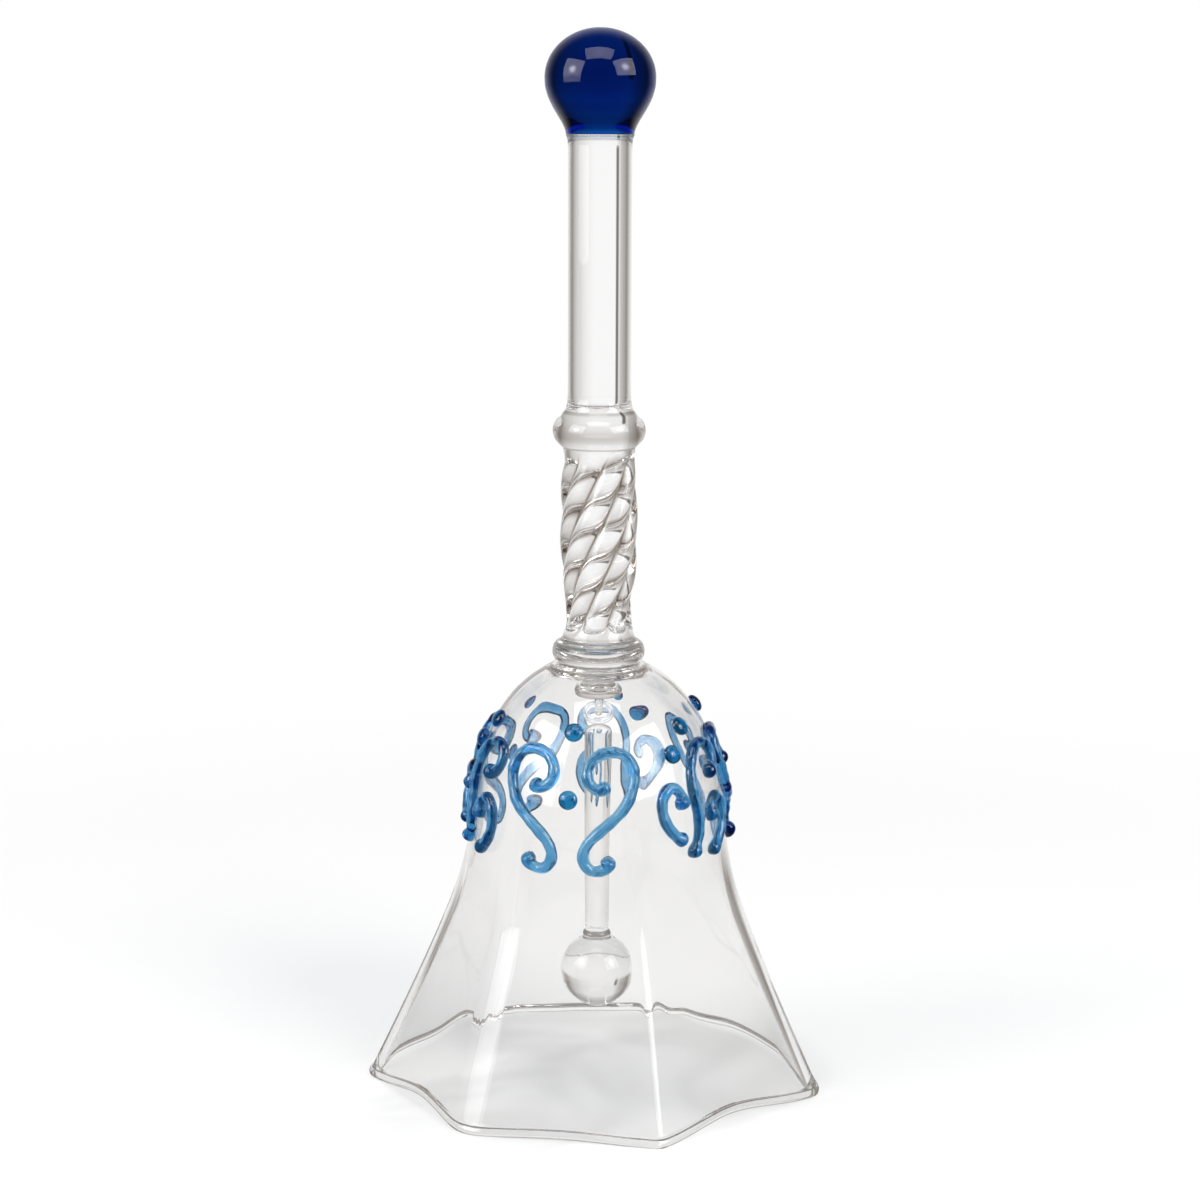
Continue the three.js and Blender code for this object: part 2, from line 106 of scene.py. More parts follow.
# Rope twist. Its ridges are given as a share of its length from the bottom up, and a radius
LOBES = 7
STRAND_SHARE = 0.36
LOBE_PITCH = 63.0
LOBE_PHASE = -9.0
LOBE_START = 0.2
LOBE_FADE = 3.5
RIDGES = [
    (0, 5.7), (0.05, 5.38), (0.2, 5.36), (0.31, 5.85), (0.43, 6.12), (0.72, 6.12), (0.86, 5.92),
    (0.93, 5.66), (1, 5.75),
]
# Painted shade of the twist: half width of the dark line along each groove, half width of the band on one
# flank of it, and that band's strength
GROOVE_WIDTH = 0.36
FLANK_WIDTH = 1.3
FLANK_SHADE = 0.42

# Weld lines near the axis, and painted shade in the lower thirds of both knops, each a height, a half
# width and a strength
WELD_REACH = 8.5
WELDS_AND_PAINTED_SHADE = [
    (KNOB_BASE - 0.15, 0.15, 0.5), (HANDLE_BASE - 0.4, 0.25, 0.35), (HANDLE_BASE - 4.2, 1.1, 0.3),
    (STEM_TOP + 0.1, 0.15, 0.5), (STEM_BASE - 0.2, 0.3, 0.35), (LOWER_KNOP_BASE + 1.3, 0.8, 0.25),
    (LOWER_KNOP_BASE - 0.1, 0.15, 0.7), (BELL_HEIGHT, 0.12, 0.8), (CEILING_HEIGHT - 0.8, 0.25, 0.4),
    (CEILING_HEIGHT - 3.4, 0.35, 0.45),
]

# Blue ornament, drawn as steps to the right and up from the middle of a motif
MOTIF_BEARINGS = [-103, -42, 19, 77, 139, 197]
MOTIF_RISE = 8
MOTIF_LEVEL = SHOULDER_HEIGHT + MOTIF_RISE
SEARCH_DOWN, SEARCH_UP = 16, 14
TRAIL_RADIUS = 0.9
TRAIL_START, TRAIL_END = -28, 208
END_RADIUS = 1.2
SCROLL = [
    (6.5, -8.6), (5.9, -10.6), (3.6, -11.1), (2.2, -9.2), (2.9, -6.8), (5.6, -4.2), (8.6, -1.4),
    (9.9, 1.8), (9.9, 4.6), (8.2, 7.0), (5.4, 7.6), (2.9, 6.0), (2.5, 3.3), (4.3, 1.6), (6.3, 2.4),
]
SPRIG = [
    (-1.4, -10.4), (0.2, -7.4), (0.3, -3.8), (-0.3, -0.2), (0.2, 3.6), (2.2, 6.6), (5.2, 6.9),
    (7.0, 4.6), (5.9, 2.2), (3.6, 2.5),
]
LEAF = [
    (-2.6, -7.6), (-4.8, -6.2), (-6.5, -3.6), (-6.5, -0.6), (-4.6, 1.3), (-2.8, -0.3), (-3.4, -2.5),
]
RIGHT_LEAF_SHIFT = (0.8, -3.0)
SCROLL_DOTS = [(0, 0), (0, 10.4)]
SPRIG_DOTS = [(-3.0, 6.2), (0.6, 10.2)]
DOT_RADIUS = 1.5
DOT_HEIGHT = 1.5
SINK = 0.08

# Mesh fineness
COLUMNS = 420
KNOB_COLUMNS = 192
CLAPPER_COLUMNS = 96
DOT_COLUMNS = 48
WIRE_SIDES = 20
DOME_ROWS = 46
SKIRT_ROWS = 72
BEAD_ROWS = 22
STEM_ROWS = 190
RIDGE_SAMPLES = 400
SPAN_SAMPLES = 24
CORNER_SAMPLES = 9
LEVEL_SAMPLES = 601
TRAIL_SAMPLES = 240
TRAIL_STEP = 0.35
TRAIL_SIDES = 26
TRAIL_FOOT_SIDES = 8
END_ROWS = 9
SMOOTHING = 41


def smoothstep(value, low, high):
    """0 up to low, 1 from high on, and a soft change between."""
    share = np.clip((value - low) / (high - low), 0, 1)
    return share * share * (3 - 2 * share)


def catmull(points, count):
    """A smooth curve through points, count samples evenly spaced along it, and its length."""
    p = np.array(points, float)
    p = np.vstack([2 * p[0] - p[1], p, 2 * p[-1] - p[-2]])
    spans = []
    for i in range(1, len(p) - 2):
        t0 = 0.0
        t1 = t0 + max(np.linalg.norm(p[i] - p[i - 1]), 1e-6) ** 0.5
        t2 = t1 + max(np.linalg.norm(p[i + 1] - p[i]), 1e-6) ** 0.5
        t3 = t2 + max(np.linalg.norm(p[i + 2] - p[i + 1]), 1e-6) ** 0.5
        t = np.linspace(t1, t2, SPAN_SAMPLES, endpoint=False)[:, None]
        a1 = (t1 - t) / (t1 - t0) * p[i - 1] + (t - t0) / (t1 - t0) * p[i]
        a2 = (t2 - t) / (t2 - t1) * p[i] + (t - t1) / (t2 - t1) * p[i + 1]
        a3 = (t3 - t) / (t3 - t2) * p[i + 1] + (t - t2) / (t3 - t2) * p[i + 2]
        b1 = (t2 - t) / (t2 - t0) * a1 + (t - t0) / (t2 - t0) * a2
        b2 = (t3 - t) / (t3 - t1) * a2 + (t - t1) / (t3 - t1) * a3
        spans.append((t2 - t) / (t2 - t1) * b1 + (t - t1) / (t2 - t1) * b2)
    dense = np.vstack(spans + [p[-2][None]])
    run = np.concatenate([[0], np.cumsum(np.linalg.norm(np.diff(dense, axis=0), axis=1))])
    stops = np.linspace(0, run[-1], count)
    return np.stack([np.interp(stops, run, dense[:, k]) for k in range(p.shape[1])], 1), run[-1]


def spline(points, count, base=0):
    """The same curve without its length, through radii and heights over a base."""
    return catmull([(radius, base + height) for radius, height in points], count)[0]


def arc(centre, radius, rise, start, end, count):
    """Radii and heights along an ellipse round a centre, from one angle to another."""
    turn = np.radians(np.linspace(start, end, count))
    return np.stack([centre[0] + radius * np.cos(turn), centre[1] + rise * np.sin(turn)], 1)


def linked(obj):
    scene.collection.objects.link(obj)
    return obj


def build_mesh(name, rings, start_pole=None, end_pole=None, loop=False):
    """A smooth skin over rings of equal length. Poles close its ends, or a loop joins them."""
    points = np.vstack(rings)
    rows, count = len(rings), len(rings[0])
    here = np.arange(count)
    beside = (here + 1) % count
    bands = []
    for row in range(rows if loop else rows - 1):
        upper, lower = row * count, ((row + 1) % rows) * count
        bands.append(np.stack([upper + here, lower + here, lower + beside, upper + beside], 1))
    quads = np.vstack(bands)
    faces = quads.tolist()
    edge = list(zip(here.tolist(), beside.tolist()))
    if start_pole is not None:
        faces += [[len(points), i, j] for i, j in edge]
        points = np.vstack([points, start_pole])
    if end_pole is not None:
        base = (rows - 1) * count
        faces += [[len(points), base + j, base + i] for i, j in edge]
        points = np.vstack([points, end_pole])
    first, second, third, fourth = np.moveaxis(points[quads] - points.mean(0), 1, 0)
    if (first * (np.cross(second, third) + np.cross(third, fourth))).sum() < 0:
        faces = [face[::-1] for face in faces]
    mesh = bpy.data.meshes.new(name)
    mesh.from_pydata((points * MM).tolist(), [], faces)
    mesh.polygons.foreach_set("use_smooth", [True] * len(mesh.polygons))
    mesh.update()
    return linked(bpy.data.objects.new(name, mesh))


def turned_rings(profile, columns=COLUMNS):
    """Rings of a turned form, from its profile of radii and heights."""
    angle = 2 * np.pi * np.arange(columns) / columns
    return [
        np.stack([radius * np.cos(angle), radius * np.sin(angle), np.full(columns, height)], 1)
        for radius, height in profile
    ]


def tube(name, path, upright, closed=False):
    """Round wire along a path that bends only across the upright direction."""
    path = np.array(path, float)
    if closed:
        along = np.roll(path, -1, 0) - np.roll(path, 1, 0)
    else:
        along = np.gradient(path, axis=0)
    along /= np.linalg.norm(along, axis=1, keepdims=True)
    across = np.cross(np.broadcast_to(upright, along.shape), along)
    across /= np.linalg.norm(across, axis=1, keepdims=True)
    outward = np.cross(along, across)
    turn = (2 * np.pi * np.arange(WIRE_SIDES) / WIRE_SIDES)[::-1, None]
    rings = [
        point + WIRE_RADIUS * (np.cos(turn) * side + np.sin(turn) * out)
        for point, side, out in zip(path, across, outward)
    ]
    if closed:
        return build_mesh(name, rings, loop=True)
    return build_mesh(name, rings, start_pole=path[0], end_pole=path[-1])


# Bell wall


def mouth_at(bearing):
    """(reach of the uncut round, depth of the press, lift of the bead) at bearings."""
    bearing = np.asarray(bearing, float)
    first = CORNERS[0][0]
    wrapped = first + np.mod(bearing - first, 360)
    round_reach = np.zeros_like(wrapped)
    sag = np.zeros_like(wrapped)
    lift = np.zeros_like(wrapped)
    for i, (start, share, press, arch, rise, _, _) in enumerate(CORNERS):
        stop, next_share = CORNERS[(i + 1) % len(CORNERS)][:2]
        span = (stop - start) % 360
        inside = (wrapped >= start) & (wrapped < start + span)
        along = np.where(inside, (wrapped - start) / span, 0)
        reach, next_reach = share * MOUTH_REACH, next_share * MOUTH_REACH
        circle = reach + (next_reach - reach) * along
        turn = math.radians(span)
        chord = reach * next_reach * math.sin(turn) / (
            reach * np.sin(turn * along) + next_reach * np.sin(turn * (1 - along))
        )
        round_reach = np.where(inside, circle, round_reach)
        sag = np.where(inside, press * (circle - chord), sag)
        arched = arch * smoothstep(np.minimum(along, 1 - along), 0, rise)
        lift = np.where(inside, arched, lift)
    return round_reach, sag, lift


def softness_at(bearing, face):
    """How softly the corners are rounded on a face of the wall, at bearings."""
    order = sorted(CORNERS, key=lambda corner: corner[0] % 360)
    places = [corner[0] % 360 for corner in order]
    return np.interp(np.mod(bearing, 360), places, [corner[face] for corner in order], period=360)


def soft_mouth_at(bearing, angle):
    """Reach and press averaged over an angle to either side, which rounds the corners."""
    shares = np.linspace(-1, 1, CORNER_SAMPLES)
    weights = 1 - 0.5 * np.abs(shares)
    weights = weights / weights.sum()
    samples = [mouth_at(bearing + share * angle) for share in shares]
    reach = sum(weight * sample[0] for weight, sample in zip(weights, samples))
    sag = sum(weight * sample[1] for weight, sample in zip(weights, samples))
    return reach, sag


def soft_start(share, knee):
    """0 to 1 like the share itself, but flat at first, for longer the larger the knee is."""
    return (1 + knee) * share * share / (share + knee)


def outer_radius(bearing, height, face=OUTSIDE):
    """Radius of the bell's outside, its corners as soft as one face of the wall has them."""
    bearing, height = np.broadcast_arrays(np.asarray(bearing, float), np.asarray(height, float))
    climbed = np.clip((height - SHOULDER_HEIGHT) / DOME_RISE, 0, 1)
    dome = SHOULDER_RADIUS * (1 - climbed**2) ** (1 / DOME_FULLNESS)
    dropped = np.clip((SHOULDER_HEIGHT - height) / SHOULDER_HEIGHT, 0, None)
    run = soft_start(dropped, FLARE_SHARE)
    rough = SHOULDER_RADIUS + (mouth_at(bearing)[0] - SHOULDER_RADIUS) * run
    reach, sag = soft_mouth_at(bearing, np.degrees(softness_at(bearing, face) / rough))
    pressed = sag / reach * smoothstep(dropped, 0, FLAT_SHARE)
    skirt = (SHOULDER_RADIUS + (reach - SHOULDER_RADIUS) * run) * (1 - pressed)
    return np.where(height >= SHOULDER_HEIGHT, dome, skirt)


def outer_point(bearing, height, face=OUTSIDE):
    radius = outer_radius(bearing, height, face)
    angle = np.radians(bearing)
    height = np.broadcast_to(height, radius.shape)
    return np.stack([radius * np.cos(angle), radius * np.sin(angle), height], -1)


def outer_normal(bearing, height, face=OUTSIDE):
    """Directions away from the outside, from points a step to either side and up and down."""
    top = np.minimum(np.asarray(height, float) + NORMAL_STEP, BELL_HEIGHT - 0.01)
    right = outer_point(bearing + NORMAL_STEP, height, face)
    around = right - outer_point(bearing - NORMAL_STEP, height, face)
    upwards = outer_point(bearing, top, face) - outer_point(bearing, top - 2 * NORMAL_STEP, face)
    normal = np.cross(around, upwards)
    return normal / np.linalg.norm(normal, axis=-1, keepdims=True)


def thickness_at(bearing, height):
    """The wall with the slow and the quick waves of hand-blown glass."""
    slow = SLOW_WAVE * np.sin(np.radians(3 * bearing + 40)) * np.sin(height / 9.0)
    quick = QUICK_WAVE * np.sin(np.radians(11 * bearing + 100) + height / 14.0)
    return WALL + (slow + quick)


def wall_rings():
    """Rings of the bell from the crown down the outside, round the bead and up the inside."""
    bearings = np.arange(COLUMNS) * 360 / COLUMNS
    top = math.asin((BELL_HEIGHT - SHOULDER_HEIGHT) / DOME_RISE)
    dome = SHOULDER_HEIGHT + DOME_RISE * np.sin(top * (1 - np.linspace(0, 1, DOME_ROWS)))
    flare = np.linspace(SHOULDER_HEIGHT, BEAD_HEIGHT, SKIRT_ROWS)[1:]
    lift = mouth_at(bearings)[2]
    outside, inside = [], []
    for height in np.concatenate([dome, flare]):
        dropped = np.clip((SHOULDER_HEIGHT - height) / SHOULDER_HEIGHT, 0, 1)
        lifted = height + lift * max(dropped - ARCH_SHARE, 0) / (1 - ARCH_SHARE)
        outside.append(outer_point(bearings, lifted))
        inwards = outer_normal(bearings, lifted, INSIDE) * thickness_at(bearings, height)[:, None]
        point = outer_point(bearings, lifted, INSIDE) - inwards
        point[:, 2] = np.minimum(point[:, 2], CEILING_HEIGHT)
        inside.append(point)
    foot = BEAD_HEIGHT + lift
    normal = outer_normal(bearings, foot)
    down = outer_point(bearings, foot - 0.1) - outer_point(bearings, foot + 0.1)
    down /= np.linalg.norm(down, axis=1, keepdims=True)
    middle = outer_point(bearings, foot + BEAD_RADIUS - BEAD_HEIGHT) - normal * WALL / 2
    bead = []
    for turn in np.radians(np.linspace(BEAD_START, BEAD_END, BEAD_ROWS)):
        ring = middle + BEAD_RADIUS * (normal * math.cos(turn) + down * math.sin(turn))
        ring[:, 2] = np.maximum(ring[:, 2], 0.0)
        bead.append(ring)
    return outside[:-1] + bead + inside[:-1][::-1]


# Rope twist


def stem_rings():
    """Rings of the rope twist, from its top down, and the strength of the shade painted along each groove
    and on one flank of it.
    """
    length = STEM_TOP - STEM_BASE
    ridges, _ = catmull([(share * length, radius) for share, radius in RIDGES], RIDGE_SAMPLES)
    angle = 2 * np.pi * np.arange(COLUMNS) / COLUMNS
    gap = 2 * np.pi / LOBES
    rings, groove_shade = [], []
    for climbed in np.linspace(length, 0, STEM_ROWS):
        ridge = np.interp(climbed, ridges[:, 0], ridges[:, 1])
        fade = smoothstep(min(climbed, length - climbed), LOBE_START, LOBE_FADE)
        twist = 2 * np.pi * climbed / LOBE_PITCH + math.radians(LOBE_PHASE)
        around = np.mod(angle - twist + gap / 2, gap) - gap / 2
        strand = STRAND_SHARE * ridge
        out = ridge - strand
        lobed = out * np.cos(around) + np.sqrt(strand**2 - (out * np.sin(around)) ** 2)
        radius = ridge + fade * (lobed - ridge)
        height = np.full(COLUMNS, STEM_BASE + climbed)
        rings.append(np.stack([radius * np.cos(angle), radius * np.sin(angle), height], 1))
        from_groove = (gap / 2 - np.abs(around)) * ridge
        # Painted shade: a dark line along each groove, and a wider, fainter band on one flank of it
        line = np.exp(-((from_groove / GROOVE_WIDTH) ** 2))
        flank = FLANK_SHADE * np.exp(-((from_groove / FLANK_WIDTH) ** 2)) * (around > 0)
        groove_shade.append(fade * np.maximum(line, flank))
    return rings, groove_shade


# Plain rod and upper knop
handle_profile = np.vstack([
    [(2.0, KNOB_BASE), (4.0, KNOB_BASE), (5.2, KNOB_BASE)],
    spline([(5.35, -0.1), (5.16, -0.6), (5.04, -1.3), (ROD_RADIUS, -2.2)], 12, KNOB_BASE),
    [(ROD_RADIUS, height) for height in np.linspace(KNOB_BASE - 6, HANDLE_BASE + 6, 12)],
    spline([
        (ROD_RADIUS, 2.6), (5.03, 1.6), (5.14, 0.8), (5.35, 0), (5.72, -0.6), (6.3, -1.15), (6.86, -1.8),
        (7.24, -2.6), (7.36, -3.4), (7.24, -4.2), (6.92, -4.9), (6.45, -5.45), (6.02, -5.85), (5.72, -6.1),
    ], 60, HANDLE_BASE),
])

# Lower knop and the thin foot under it
foot_profile = np.vstack([
    spline([
        (5.7, 0), (5.8, -0.4), (6.15, -0.75), (6.75, -1.1), (7.2, -1.65), (7.38, -2.4), (7.36, -3.1),
        (7.15, -3.7), (6.76, -4.12), (6.32, -4.35),
    ], 44, STEM_BASE),
    spline([
        (6.32, -0.13), (6.5, -0.28), (7.0, -0.38), (7.45, -0.44), (7.72, -0.54), (7.79, -0.68),
        (7.74, -0.83), (7.6, -0.94), (7.75, -1.0),
    ], 26, LOWER_KNOP_BASE)[1:],
])

# Post with its flange under the ceiling of the bell
post_profile = spline([
    (7.0, 0), (4.2, -0.02), (3.0, -0.2), (2.5, -0.6), (2.45, -1.0), (2.75, -1.35), (3.35, -1.65),
    (3.8, -2.15), (3.93, -2.75), (3.7, -3.35), (3.1, -3.75), (2.3, -3.88), (1.0, -3.9),
], 64, CEILING_HEIGHT)

# Clear body in one skin: rod, knops, twist, foot, bell and post
strands, strand_painted_shade = stem_rings()
body = build_mesh(
    "clear_glass_bell",
    turned_rings(handle_profile)
    + strands[1:]
    + turned_rings(foot_profile)[1:]
    + wall_rings()[1:]
    + turned_rings(post_profile),
    start_pole=(0, 0, KNOB_BASE),
    end_pole=(0, 0, FLANGE_BASE),
)

# Painted shade of the grooves and the knops, and the weld lines, kept on the body's points for the glass
# to read
shade_values = np.zeros(len(body.data.vertices))
first_point = len(handle_profile) * COLUMNS
strand_values = np.concatenate(strand_painted_shade[1:])
shade_values[first_point : first_point + len(strand_values)] = strand_values
body_points = np.zeros(3 * len(body.data.vertices))
body.data.vertices.foreach_get("co", body_points)
body_points = body_points.reshape(-1, 3) / MM
near_axis = np.hypot(body_points[:, 0], body_points[:, 1]) < WELD_REACH
for height, half_width, strength in WELDS_AND_PAINTED_SHADE:
    line = strength * np.exp(-(((body_points[:, 2] - height) / half_width) ** 2))
    shade_values = np.maximum(shade_values, np.where(near_axis, line, 0))
body.data.attributes.new("groove", "FLOAT", "POINT").data.foreach_set("value", shade_values)

# Cobalt ball, sunk a hair into the rod so that light passes straight from one glass to the other
knob_profile = np.vstack([
    [(1.6, KNOB_BASE - SINK), (3.6, KNOB_BASE - SINK), (5.1, KNOB_BASE - SINK)],
    spline([
        (5.33, 0), (5.42, 0.5), (5.66, 1.15), (6.1, 2.0), (6.75, 3.05), (7.5, 4.35), (8.15, 5.8),
        (8.55, 7.3), (KNOB_RADIUS, KNOB_WAIST),
    ], 60, KNOB_BASE),
    arc((0, KNOB_BASE + KNOB_WAIST), KNOB_RADIUS, KNOB_CAP, 0, 84, 52)[1:],
])
knob = build_mesh(
    "cobalt_knob",
    turned_rings(knob_profile[::-1], KNOB_COLUMNS),
    start_pole=(0, 0, KNOB_BASE + KNOB_WAIST + KNOB_CAP),
    end_pole=(0, 0, KNOB_BASE - SINK),
)

# Loop of wire under the post, which stands in line with the view and is open to the left and right
bend_centre = PIVOT_HEIGHT + LOOP_RADIUS
loop_path = [(0, -LOOP_RADIUS, FLANGE_BASE + WIRE_SUNK)]
loop_path += [
    (0, LOOP_RADIUS * math.cos(turn), bend_centre + LOOP_RADIUS * math.sin(turn))
    for turn in np.linspace(math.pi, 2 * math.pi, 24)
]
loop_path += [(0, LOOP_RADIUS, FLANGE_BASE + WIRE_SUNK)]
hanger = tube("hanger_loop_glass", loop_path, (1, 0, 0))

# Eye of the clapper, a ring of the same wire that hangs in the loop and faces the view
eye_path = [
    (EYE_REACH * math.cos(turn), 0, PIVOT_HEIGHT + EYE_RISE * math.sin(turn))
    for turn in np.linspace(0, 2 * np.pi, 48, endpoint=False)
]
eye = tube("clapper_eye_glass", eye_path, (0, 1, 0), closed=True)

# Clapper in one skin: rod, weld collar and ball
clapper_profile = np.vstack([
    spline([(0.6, 0.28), (1.2, 0.1), (1.7, -0.25), (1.95, -0.8), (CLAPPER_ROD_RADIUS, -1.6)], 14, ROD_TOP),
    [(CLAPPER_ROD_RADIUS, height) for height in np.linspace(ROD_TOP - 4, ROD_BASE + 3, 10)],
    spline([
        (CLAPPER_ROD_RADIUS, ROD_BASE + 0.6), (2.06, ROD_BASE + 0.1), (2.3, ROD_BASE - 0.25),
        (2.42, ROD_BASE - 0.65), (2.34, ROD_BASE - 1.0), (2.5, LAND_HEIGHT + 0.12),
        (2.8, LAND_HEIGHT - 0.13),
    ], 26),
    arc((0, BALL_CENTRE), BALL_RADIUS, BALL_RADIUS, 60.5, -88, 70),
])
clapper = build_mesh(
    "clapper_rod_and_ball",
    turned_rings(clapper_profile, CLAPPER_COLUMNS),
    start_pole=(0, 0, ROD_TOP + 0.32),
    end_pole=(0, 0, BALL_CENTRE - BALL_RADIUS),
)


# Blue ornament


def heights_along_wall(bearing, distances):
    """Heights reached after going some way up or down the outside from the motifs' level."""
    heights = np.linspace(MOTIF_LEVEL - SEARCH_DOWN, MOTIF_LEVEL + SEARCH_UP, LEVEL_SAMPLES)
    radii = outer_radius(np.full(LEVEL_SAMPLES, float(bearing)), heights)
    run = np.concatenate([[0], np.cumsum(np.hypot(np.diff(heights), np.diff(radii)))])
    run -= np.interp(MOTIF_LEVEL, heights, run)
    return np.interp(distances, run, heights)


def lay_on_wall(bearing, places):
    """(points, normals) where places of a drawing lie on the outside of the bell."""
    places = np.atleast_2d(places)
    heights = heights_along_wall(bearing, places[:, 1])
    radii = outer_radius(np.full(len(heights), float(bearing)), heights)
    turned = bearing + np.degrees(places[:, 0] / radii)
    return outer_point(turned, heights), outer_normal(turned, heights)


def softened(curve):
    """A drawn line with its bends softened and its ends kept."""
    blur = np.hanning(SMOOTHING)
    blur /= blur.sum()
    margin = SMOOTHING // 2
    padded = np.vstack([np.repeat(curve[:1], margin, 0), curve, np.repeat(curve[-1:], margin, 0)])
    smooth = np.stack([np.convolve(padded[:, k], blur, "valid") for k in (0, 1)], 1)
    order = np.arange(len(curve))
    share = smoothstep(np.minimum(order, order[::-1]), 0, 2 * margin)[:, None]
    return curve * (1 - share) + smooth * share


def trail_radius(distances, length, phase):
    """Radius of a trail some way along it: a bead at each end, and a little unevenness."""
    from_end = np.minimum(distances, length - distances)
    inside_bead = END_RADIUS - np.minimum(from_end, END_RADIUS)
    rounded = np.sqrt(np.clip(END_RADIUS**2 - inside_bead**2, 0, None))
    narrowed = smoothstep(from_end, END_RADIUS, 2.2 * END_RADIUS)
    swollen = END_RADIUS + (TRAIL_RADIUS - END_RADIUS) * narrowed
    slow = 0.05 * np.sin(distances * 1.1 + phase)
    quick = 0.03 * np.sin(distances * 2.7 + 2 * phase)
    return np.where(from_end < END_RADIUS, rounded, swollen) * (1 + slow + quick)


def trail(name, bearing, drawing, phase):
    """A trail with a flat foot just under the face of the wall, and a round bead at each end."""
    curve, length = catmull(drawing, TRAIL_SAMPLES)
    curve = softened(curve)
    ends = END_RADIUS * (1 - np.cos(np.radians(np.linspace(8, 90, END_ROWS))))
    start = END_RADIUS * 1.05
    middle = np.linspace(start, length - start, int(length / TRAIL_STEP))
    distances = np.concatenate([ends, middle, length - ends[::-1]])
    run = np.linspace(0, length, TRAIL_SAMPLES)
    drawn = np.stack([np.interp(distances, run, curve[:, k]) for k in (0, 1)], 1)
    points, normals = lay_on_wall(bearing, drawn)
    along = np.gradient(points, axis=0)
    along -= normals * (along * normals).sum(1, keepdims=True)
    along /= np.linalg.norm(along, axis=1, keepdims=True)
    sides = np.cross(normals, along)
    radii = trail_radius(distances, length, phase)
    turn = np.radians(np.linspace(TRAIL_START, TRAIL_END, TRAIL_SIDES))
    rings = []
    for point, normal, side, radius in zip(points, normals, sides, radii):
        across = radius * np.cos(turn)
        up = radius * np.sin(turn)
        foot = np.linspace(across[-1], across[0], TRAIL_FOOT_SIDES + 2)[1:-1]
        across = np.concatenate([across, foot])
        up = np.concatenate([up, np.full(TRAIL_FOOT_SIDES, up[0])]) - up[0] - SINK
        rings.append(point + across[:, None] * side + up[:, None] * normal)
    return build_mesh(name, rings, start_pole=rings[0].mean(0), end_pole=rings[-1].mean(0))


def dot(name, bearing, place):
    """A blob of glass with a flat foot just under the face of the wall."""
    points, normals = lay_on_wall(bearing, place)
    waist = (0, 0.42 * DOT_HEIGHT)
    profile = np.vstack([
        arc(waist, DOT_RADIUS, 0.58 * DOT_HEIGHT, 86, 0, 20),
        arc(waist, DOT_RADIUS, 0.6 * DOT_HEIGHT, -6, -44, 8),
        [(0.6 * DOT_RADIUS, -SINK), (0.3 * DOT_RADIUS, -SINK)],
    ])
    profile[-3:, 1] = -SINK
    rings = turned_rings(profile, DOT_COLUMNS)
    obj = build_mesh(name, rings, start_pole=(0, 0, DOT_HEIGHT), end_pole=(0, 0, -SINK))
    turn = Vector((0, 0, 1)).rotation_difference(Vector(normals[0])).to_matrix().to_4x4()
    obj.data.transform(Matrix.Translation(Vector(points[0] * MM)) @ turn)
    return obj


def mirrored(drawing, shift=(0, 0)):
    """A drawing turned left to right, and then shifted."""
    return [(shift[0] - right, shift[1] + up) for right, up in drawing]


# Materials. Colours are linear, densities are per metre, and heights are in metres from here on
WHITE = (1.0, 1.0, 1.0)
GLASS_IOR = 1.47
PALE_SHADE = (0.895, 0.893, 0.89)
CROWN_CHANGE = (0.066, 0.074)
# Heights in metres where the cobalt knob's painted shade sets in
KNOB_CHANGE = (0.1555, 0.1625)
# Heights in metres above which the clapper's outline takes its painted shade
COLLAR_CHANGE = (0.026, 0.028)
BUMP_DEPTH = 0.0002
# Light that has met more faces than this takes no more tint or painted shade, and past the last bounce in
# the bell it ends in a painted grey glow, which stands in for the light it would have reached
DEEP_BOUNCE = 6.5
LAST_BOUNCE = 10.5


class Nodes:
    """The cleared shader nodes of a material or world, with short ways to add and join them."""

    def __init__(self, owner, output):
        owner.use_nodes = True
        self.tree = owner.node_tree
        self.tree.nodes.clear()
        self.out = self.add(output)

    def fill(self, socket, source):
        """Gives a socket the output of another node, or a colour or number of its own."""
        if isinstance(source, bpy.types.NodeSocket):
            self.tree.links.new(source, socket)
        elif isinstance(source, tuple):
            socket.default_value = (*source, 1)
        else:
            socket.default_value = source

    def add(self, kind, *sources, **settings):
        """A node whose first sockets are filled in order, and other sockets or options by name."""
        node = self.tree.nodes.new(kind)
        for key, value in settings.items():
            if key in node.inputs.keys():
                self.fill(node.inputs[key], value)
            else:
                setattr(node, key, value)
        for socket, source in zip(node.inputs, sources):
            self.fill(socket, source)
        return node

    def out_of(self, kind, *sources, **settings):
        return self.add(kind, *sources, **settings).outputs[0]


def mixed(n, share, first, second, **settings):
    """Two colours mixed by a share, or one of them chosen by a flag."""
    mix = n.add("ShaderNodeMix", share, data_type="RGBA", **settings)
    for socket, source in zip([s for s in mix.inputs if s.type == "RGBA"], (first, second)):
        n.fill(socket, source)
    return [s for s in mix.outputs if s.type == "RGBA"][0]


def eased(n, value, low, high, start=0.0, end=1.0, curve="SMOOTHSTEP"):
    """What goes from start to end while a value goes from low to high."""
    return n.out_of("ShaderNodeMapRange", value, low, high, start, end, interpolation_type=curve)


def added(n, first, second):
    return n.out_of("ShaderNodeMath", first, second, operation="ADD", use_clamp=True)


def multiplied(n, first, second):
    return n.out_of("ShaderNodeMath", first, second, operation="MULTIPLY")


def above(n, value, limit):
    return n.out_of("ShaderNodeMath", value, limit, operation="GREATER_THAN")


def tint_by_height(n, low, high, start, end):
    """One tint below a height and another above it, with a soft change between."""
    place = n.add("ShaderNodeTexCoord")
    split = n.add("ShaderNodeSeparateXYZ", place.outputs["Object"])
    return mixed(n, eased(n, split.outputs["Z"], start, end), low, high)


